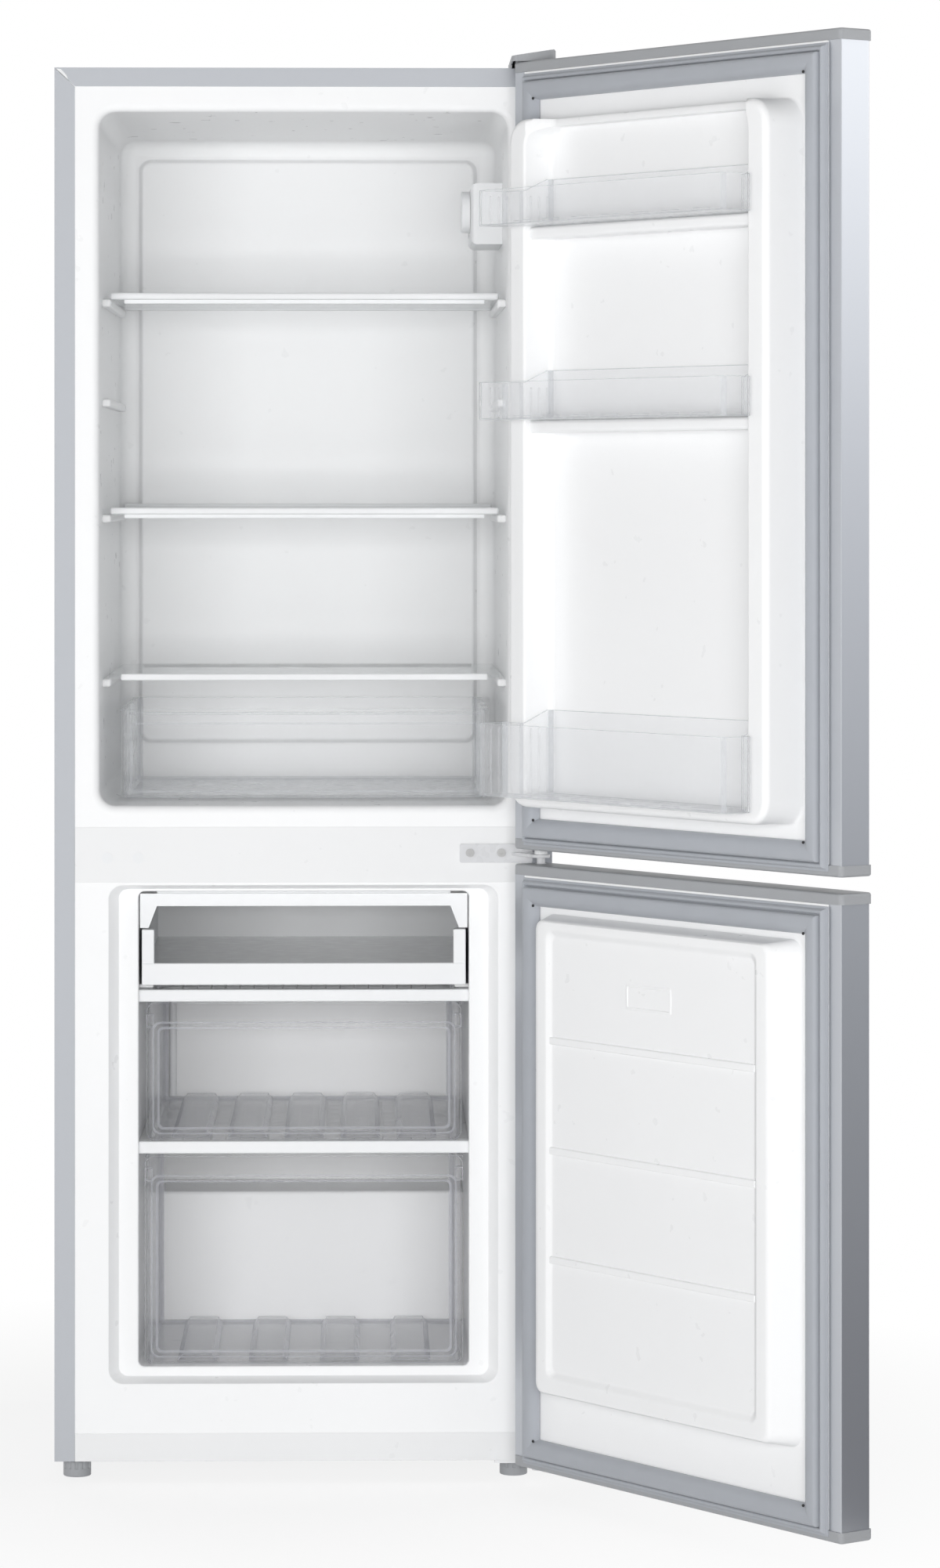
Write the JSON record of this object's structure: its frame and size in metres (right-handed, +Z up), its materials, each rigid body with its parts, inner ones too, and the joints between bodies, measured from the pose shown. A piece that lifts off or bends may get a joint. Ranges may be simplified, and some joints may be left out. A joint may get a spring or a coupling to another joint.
{
  "type": "bottom freezer refrigerator",
  "caption": "Slim free-standing refrigerator with a freezer below, both doors standing open on glass shelves, a crisper, clear door bins, a freezer tray and freezer drawers.",
  "frame": {"origin": "on the floor, under the middle of the cabinet's width and depth", "axes": "+Z up; +X to the right of a person who faces the open cabinet; +Y towards the wall behind it"},
  "size_m": [0.7806, 0.9437, 1.435],
  "materials": {
    "silver_paint": "satin silver coating",
    "back_sheet": "matt grey coated sheet",
    "base_sheet": "zinc coated sheet",
    "black_enamel": "semi-matt black",
    "white_enamel": "satin white",
    "liner_white": "smooth vacuum-formed white",
    "trim_white": "smooth moulded white",
    "plug_white": "matt white",
    "foam": "rigid foam, seen nowhere outside",
    "evaporator_plate": "plain",
    "black_plastic": "matt black",
    "grey_plastic": "matt grey",
    "copper": "drawn copper",
    "mount_rubber": "matt black",
    "shelf_glass": "clear float glass",
    "clear_plastic": "clear moulded",
    "frosted_plastic": "clear moulded with a faint lilac tone",
    "lamp_glass": "frosted",
    "tray_plastic": "smooth moulded light grey",
    "gasket_grey": "soft light grey",
    "zinc": "zinc plated"
  },
  "bodies": {
    "cabinet": {"outer_cabinet": "silver_paint", "rear_panel": "back_sheet", "base_plate": "base_sheet", "fridge_liner": "liner_white", "freezer_liner": "liner_white", "mid_band": "white_enamel", "plinth_rail": "white_enamel", "hole_plugs": "plug_white", "fridge_evaporator": "evaporator_plate", "drain_tube": "plug_white", "lamp_switch": "grey_plastic", "cabinet_insulation": "foam", "compressor": "black_enamel", "compressor_mounts": "mount_rubber", "terminal_box": "black_plastic", "drip_tray": "plug_white", "condenser": "black_enamel", "condenser_clips": "black_plastic", "filter_drier": "copper", "refrigerant_pipes": "copper", "thermostat_housing": "trim_white", "lamp_cover": "clear_plastic", "lamp_bulb": "lamp_glass", "freezer_top_trim": "trim_white", "upper_evaporator_shelf": "white_enamel", "lower_evaporator_shelf": "white_enamel", "shelf_bars": "trim_white", "top_hinge": "zinc", "top_hinge_cover": "grey_plastic", "mid_hinge": "white_enamel", "bottom_hinge": "white_enamel", "hinge_screws": "zinc", "rear_feet": "black_plastic"},
    "upper_door": {"upper_door_skin": "silver_paint", "upper_door_caps": "grey_plastic", "upper_door_bushes": "plug_white", "upper_door_gasket": "gasket_grey", "upper_door_liner": "liner_white", "upper_door_insulation": "foam"},
    "lower_door": {"lower_door_skin": "silver_paint", "lower_door_caps": "grey_plastic", "lower_door_bushes": "plug_white", "lower_door_gasket": "gasket_grey", "lower_door_liner": "liner_white", "lower_door_insulation": "foam"},
    "upper_shelf": {"upper_shelf_glass": "shelf_glass", "upper_shelf_trims": "trim_white"},
    "lower_shelf": {"lower_shelf_glass": "shelf_glass", "lower_shelf_trims": "trim_white"},
    "crisper_cover": {"crisper_cover": "shelf_glass"},
    "crisper_drawer": {"crisper_drawer": "clear_plastic"},
    "freezer_tray": {"freezer_tray": "tray_plastic"},
    "upper_freezer_drawer": {"upper_freezer_drawer": "frosted_plastic"},
    "lower_freezer_drawer": {"lower_freezer_drawer": "frosted_plastic"},
    "thermostat_knob": {"thermostat_knob": "trim_white"},
    "left_front_foot": {"left_front_foot": "grey_plastic"},
    "right_front_foot": {"right_front_foot": "grey_plastic"},
    "top_door_bin": {"top_door_bin": "clear_plastic"},
    "middle_door_bin": {"middle_door_bin": "clear_plastic"},
    "bottom_door_bin": {"bottom_door_bin": "clear_plastic"}
  },
  "joints": [
    {"name": "upper_door_swing", "type": "hinge", "parent": "cabinet", "child": "upper_door", "pos_m": [0.2374, -0.275, 1.03], "axis": [0, 0, 1], "range_deg": [-125.4, 10]},
    {"name": "lower_door_swing", "type": "hinge", "parent": "cabinet", "child": "lower_door", "pos_m": [0.2374, -0.275, 0.322], "axis": [0, 0, 1], "range_deg": [-125.4, 10]},
    {"name": "upper_shelf_slide", "type": "slide", "parent": "cabinet", "child": "upper_shelf", "axis": [0, -1, 0], "range_m": [0, 0.25]},
    {"name": "lower_shelf_slide", "type": "slide", "parent": "cabinet", "child": "lower_shelf", "axis": [0, -1, 0], "range_m": [0, 0.25]},
    {"name": "crisper_cover_slide", "type": "slide", "parent": "cabinet", "child": "crisper_cover", "axis": [0, -1, 0], "range_m": [0, 0.25]},
    {"name": "crisper_drawer_slide", "type": "slide", "parent": "cabinet", "child": "crisper_drawer", "axis": [0, -1, 0], "range_m": [0, 0.19]},
    {"name": "freezer_tray_slide", "type": "slide", "parent": "cabinet", "child": "freezer_tray", "axis": [0, -1, 0], "range_m": [0, 0.28]},
    {"name": "upper_freezer_drawer_slide", "type": "slide", "parent": "cabinet", "child": "upper_freezer_drawer", "axis": [0, -1, 0], "range_m": [0, 0.28]},
    {"name": "lower_freezer_drawer_slide", "type": "slide", "parent": "cabinet", "child": "lower_freezer_drawer", "axis": [0, -1, 0], "range_m": [0, 0.2]},
    {"name": "thermostat_turn", "type": "hinge", "parent": "cabinet", "child": "thermostat_knob", "pos_m": [0.171, -0.054, 1.2845], "axis": [1, 0, 0], "range_deg": [-140, 140]},
    {"name": "left_foot_turn", "type": "hinge", "parent": "cabinet", "child": "left_front_foot", "pos_m": [-0.229, -0.204, 0.01], "axis": [0, 0, 1], "range_deg": [-180, 180]},
    {"name": "right_foot_turn", "type": "hinge", "parent": "cabinet", "child": "right_front_foot", "pos_m": [0.212, -0.204, 0.01], "axis": [0, 0, 1], "range_deg": [-180, 180]},
    {"name": "top_bin_lift", "type": "slide", "parent": "upper_door", "child": "top_door_bin", "axis": [0, 0, 1], "range_m": [0, 0.025]},
    {"name": "middle_bin_lift", "type": "slide", "parent": "upper_door", "child": "middle_door_bin", "axis": [0, 0, 1], "range_m": [0, 0.025]},
    {"name": "bottom_bin_lift", "type": "slide", "parent": "upper_door", "child": "bottom_door_bin", "axis": [0, 0, 1], "range_m": [0, 0.025]}
  ]
}
